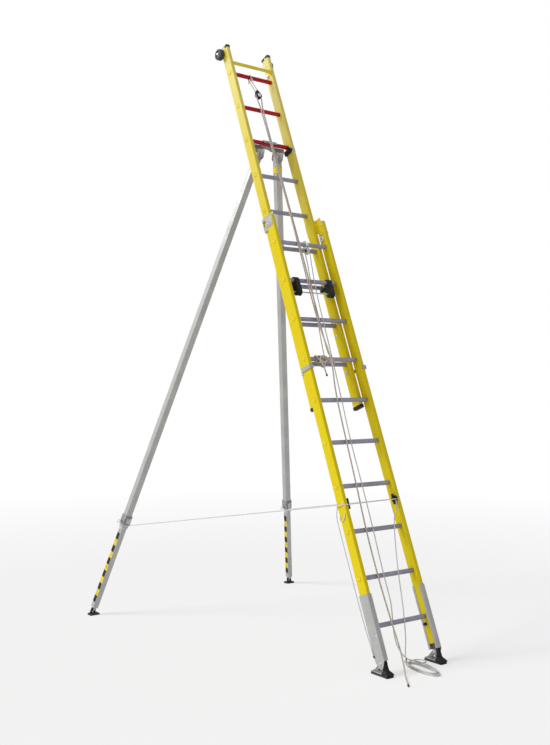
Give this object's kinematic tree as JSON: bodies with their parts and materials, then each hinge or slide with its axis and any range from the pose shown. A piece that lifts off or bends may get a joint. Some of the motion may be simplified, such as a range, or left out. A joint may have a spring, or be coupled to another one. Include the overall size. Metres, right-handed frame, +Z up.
{
  "type": "extension ladder",
  "caption": "Two-section fibreglass extension ladder with a roped top pulley, rung locks, swivelling shoes and a pair of telescopic prop legs held by a brace rope.",
  "frame": {"origin": "On the floor under the middle of the box round the ladder without its ropes.", "axes": "+X to the climber's right across the rungs, +Y from the ladder's foot towards the props, +Z up."},
  "size_m": [1.9928, 2.7443, 4.3905],
  "materials": {
    "frp_yellow": "pultruded fibreglass, satin",
    "cap_yellow": "moulded, gloss",
    "rung_grey": "ribbed extrusion, mill finish",
    "rung_red": "semi-gloss paint",
    "alu_light": "brushed sheet",
    "cast_alu": "as cast",
    "tube_alu": "mill finish tube",
    "steel": "zinc plated",
    "black_plastic": "moulded, matt",
    "black_rubber": "moulded rubber",
    "grey_rubber": "moulded rubber",
    "white_nylon": "moulded nylon",
    "light_plug": "moulded, matt",
    "rope_mottled": "braided cord with coloured tracers",
    "rope_white": "braided cord",
    "rope_brace": "braided cord"
  },
  "bodies": {
    "base": {"base_stile_left": "frp_yellow", "base_stile_right": "frp_yellow", "base_rungs": "rung_grey", "base_rung_caps": "cap_yellow", "base_end_plugs": "light_plug", "boot_left": "alu_light", "boot_right": "alu_light", "boot_knobs": "black_plastic", "base_bolts": "steel", "rope_cleats": "black_plastic", "lock_housing_left": "black_plastic", "lock_housing_right": "black_plastic", "top_guides": "alu_light", "slide_pads": "white_nylon", "strap_anchor": "steel", "haul_block": "steel", "haul_rope": "rope_white", "haul_coil": "rope_white", "safety_rope": "rope_mottled", "safety_knot": "rope_mottled", "brace_rope": "rope_brace", "brace_tails": "rope_brace"},
    "shoe_left_body": {"shoe_left": "cast_alu", "shoe_sole_left": "black_rubber"},
    "shoe_right_body": {"shoe_right": "cast_alu", "shoe_sole_right": "black_rubber"},
    "locks": {"lock_pawls": "black_plastic", "lock_rod": "steel"},
    "haul_wheel": {"haul_sheave": "white_nylon"},
    "fly": {"fly_stile_left": "frp_yellow", "fly_stile_right": "frp_yellow", "fly_rungs": "rung_grey", "fly_red_rungs": "rung_red", "fly_rung_caps": "cap_yellow", "fly_end_caps": "black_plastic", "low_guides": "alu_light", "fly_bolts": "steel", "top_bar": "cap_yellow", "lanyard_ring": "steel", "wheel_brackets": "cap_yellow", "haul_hitch": "rope_white", "head_clamp": "black_plastic"},
    "wheel_left": {"wheel_tyre_left": "grey_rubber", "wheel_hub_left": "black_plastic"},
    "wheel_right": {"wheel_tyre_right": "grey_rubber", "wheel_hub_right": "black_plastic"},
    "top_pulley": {"shackle_and_link": "steel", "pulley_cheeks": "steel"},
    "top_wheel": {"top_sheave": "black_plastic"},
    "head": {"tripod_head": "cast_alu"},
    "prop_left_body": {"prop_left": "tube_alu", "collar_left": "cast_alu"},
    "leg_left_body": {"inner_leg_left": "tube_alu"},
    "foot_left_body": {"foot_left": "black_rubber"},
    "pin_left_body": {"pin_left": "steel"},
    "prop_right_body": {"prop_right": "tube_alu", "collar_right": "cast_alu"},
    "leg_right_body": {"inner_leg_right": "tube_alu"},
    "foot_right_body": {"foot_right": "black_rubber"},
    "pin_right_body": {"pin_right": "steel"}
  },
  "joints": [
    {"name": "fly_slide", "type": "slide", "parent": "base", "child": "fly", "axis": [0, 0.3681, 0.9298], "range_m": [-1.2, 0.6], "deforming": ["safety_rope", "haul_rope"]},
    {"name": "lock_turn", "type": "hinge", "parent": "base", "child": "locks", "pos_m": [0, -0.2721, 2.42672], "axis": [1, 0, 0], "range_deg": [-40, 0], "stiffness_Nm_per_rad": 2, "springref_deg": 28.65},
    {"name": "shoe_left_tilt", "type": "hinge", "parent": "base", "child": "shoe_left_body", "pos_m": [-0.235, -1.2053, 0.06973], "axis": [1, 0, 0], "range_deg": [-25, 25]},
    {"name": "shoe_right_tilt", "type": "hinge", "parent": "base", "child": "shoe_right_body", "pos_m": [0.235, -1.2053, 0.06973], "axis": [1, 0, 0], "range_deg": [-25, 25]},
    {"name": "haul_sheave_spin", "type": "hinge", "parent": "base", "child": "haul_wheel", "pos_m": [0.03, -0.14694, 2.74284], "axis": [1, 0, 0], "continuous": true},
    {"name": "wheel_left_spin", "type": "hinge", "parent": "fly", "child": "wheel_left", "pos_m": [-0.2345, 0.58754, 4.3127], "axis": [1, 0, 0], "continuous": true},
    {"name": "wheel_right_spin", "type": "hinge", "parent": "fly", "child": "wheel_right", "pos_m": [0.2345, 0.58754, 4.3127], "axis": [1, 0, 0], "continuous": true},
    {"name": "top_pulley_swing", "type": "hinge", "parent": "fly", "child": "top_pulley", "pos_m": [-0.028, 0.48616, 4.15172], "axis": [1, 0, 0], "range_deg": [-25, 25]},
    {"name": "top_sheave_spin", "type": "hinge", "parent": "top_pulley", "child": "top_wheel", "pos_m": [-0.003, 0.39888, 3.99375], "axis": [0, 0.9298, -0.3681], "continuous": true},
    {"name": "head_swing", "type": "hinge", "parent": "fly", "child": "head", "pos_m": [0, 0.26529, 3.59385], "axis": [1, 0, 0], "range_deg": [-25, 0], "deforming": ["brace_rope", "brace_tails"]},
    {"name": "prop_left_splay", "type": "hinge", "parent": "head", "child": "prop_left_body", "pos_m": [-0.09, 0.28455, 3.50126], "axis": [0, 0.9632, 0.2689], "range_deg": [-12, 0]},
    {"name": "leg_left_slide", "type": "slide", "parent": "prop_left_body", "child": "leg_left_body", "axis": [-0.2351, 0.2614, -0.9362], "range_m": [-0.6, 0.3]},
    {"name": "foot_left_tilt", "type": "hinge", "parent": "leg_left_body", "child": "foot_left_body", "pos_m": [-0.95889, 1.2504, 0.042], "axis": [0.972, 0.0632, -0.2265], "range_deg": [-35, 35]},
    {"name": "pin_left_pull", "type": "slide", "parent": "prop_left_body", "child": "pin_left_body", "axis": [-0.972, -0.0632, 0.2265], "range_m": [0, 0.01], "stiffness_N_per_m": 400, "springref_m": -0.005},
    {"name": "prop_right_splay", "type": "hinge", "parent": "head", "child": "prop_right_body", "pos_m": [0.09, 0.28455, 3.50126], "axis": [0, -0.9632, -0.2689], "range_deg": [-12, 0]},
    {"name": "leg_right_slide", "type": "slide", "parent": "prop_right_body", "child": "leg_right_body", "axis": [0.2351, 0.2614, -0.9362], "range_m": [-0.6, 0.3]},
    {"name": "foot_right_tilt", "type": "hinge", "parent": "leg_right_body", "child": "foot_right_body", "pos_m": [0.95889, 1.2504, 0.042], "axis": [0.972, -0.0632, 0.2265], "range_deg": [-35, 35]},
    {"name": "pin_right_pull", "type": "slide", "parent": "prop_right_body", "child": "pin_right_body", "axis": [-0.972, 0.0632, -0.2265], "range_m": [0, 0.01], "stiffness_N_per_m": 400, "springref_m": -0.005}
  ]
}
